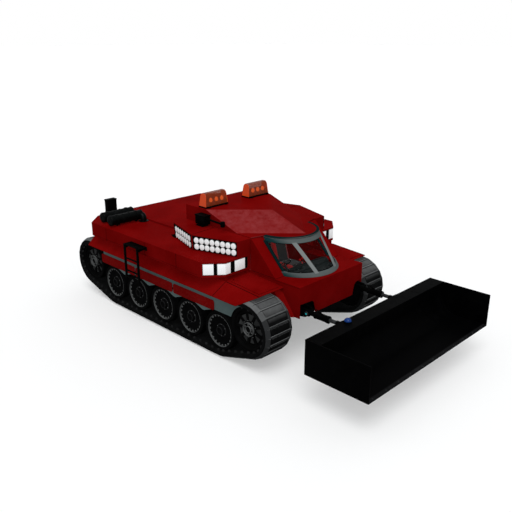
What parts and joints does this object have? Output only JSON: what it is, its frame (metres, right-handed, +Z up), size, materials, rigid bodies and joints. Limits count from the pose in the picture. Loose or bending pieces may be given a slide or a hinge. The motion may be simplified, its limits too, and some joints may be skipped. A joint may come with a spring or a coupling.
{
  "type": "tracked snow groomer",
  "caption": "Tracked snow groomer with a low red hull, bubble windscreen, lamp walls, side ladder, engine cover and a front bucket blade on two push arms that lift and tilt.",
  "frame": {"origin": "middle of the whole machine's outline, on the ground", "axes": "+X to the machine's front, where the blade is; +Y to its left; +Z up"},
  "size_m": [9.6564, 4.605, 3.195],
  "materials": {
    "hull_red": "gloss dark red paint",
    "black_paint": "satin black paint",
    "frame_grey": "grey frame paint",
    "engine_steel": "cast block",
    "belt_rubber": "ribbed belt with flat shoes",
    "wheel_black": "black wheels on a steel axle",
    "lamp_white": "white lamp lenses",
    "beacon_orange": "orange lens",
    "marker_blue": "blue lens",
    "glass": "clear curved glass",
    "seat_red": "red seat cover",
    "cab_black": "dark grey moulding"
  },
  "bodies": {
    "hull": {"nose_shell": "hull_red", "cab_front": "hull_red", "deck": "hull_red", "upper_block": "hull_red", "roof": "hull_red", "fender_right": "hull_red", "fender_left": "hull_red", "skirts_right": "hull_red", "skirts_left": "hull_red", "exhaust": "black_paint", "intake": "black_paint", "work_camera": "black_paint", "ladder": "black_paint", "lift_frame": "black_paint", "beacon_base_right": "black_paint", "beacon_base_left": "black_paint", "tub": "frame_grey", "windscreen_frame": "frame_grey", "engine": "engine_steel", "track_right": "belt_rubber", "track_left": "belt_rubber", "road_wheels_1": "wheel_black", "road_wheels_2": "wheel_black", "road_wheels_3": "wheel_black", "road_wheels_4": "wheel_black", "road_wheels_5": "wheel_black", "front_wheels": "wheel_black", "rear_wheels": "wheel_black", "lamp_bar_right": "lamp_white", "lamp_bar_left": "lamp_white", "head_lamps_right": "lamp_white", "head_lamps_left": "lamp_white", "beacon_right": "beacon_orange", "beacon_left": "beacon_orange", "windscreen": "glass", "seat_right": "seat_red", "seat_left": "seat_red", "console": "cab_black", "cab_floor": "cab_black"},
    "arms": {"push_arms": "black_paint"},
    "bucket_blade": {"blade": "black_paint", "marker_lamp": "marker_blue"},
    "engine_cover": {"engine_cover": "hull_red"},
    "fender_lid_right": {"fender_lid_right": "hull_red"},
    "fender_lid_left": {"fender_lid_left": "hull_red"}
  },
  "joints": [
    {"name": "blade_lift", "type": "hinge", "parent": "hull", "child": "arms", "pos_m": [2.4365, 0.1125, 1.225], "axis": [0, 1, 0], "range_deg": [-25, 12]},
    {"name": "blade_tilt", "type": "hinge", "parent": "arms", "child": "bucket_blade", "pos_m": [3.2665, 0.1125, 1.225], "axis": [0, 1, 0], "range_deg": [-20, 7]},
    {"name": "engine_cover_hinge", "type": "hinge", "parent": "hull", "child": "engine_cover", "pos_m": [-1.3635, 0.1125, 2.18], "axis": [0, 1, 0], "range_deg": [0, 55]},
    {"name": "fender_lid_right_hinge", "type": "hinge", "parent": "hull", "child": "fender_lid_right", "pos_m": [0.9315, -1.3225, 1.729], "axis": [0, -1, 0], "range_deg": [0, 70]},
    {"name": "fender_lid_left_hinge", "type": "hinge", "parent": "hull", "child": "fender_lid_left", "pos_m": [0.9315, 1.5475, 1.729], "axis": [0, -1, 0], "range_deg": [0, 70]}
  ]
}
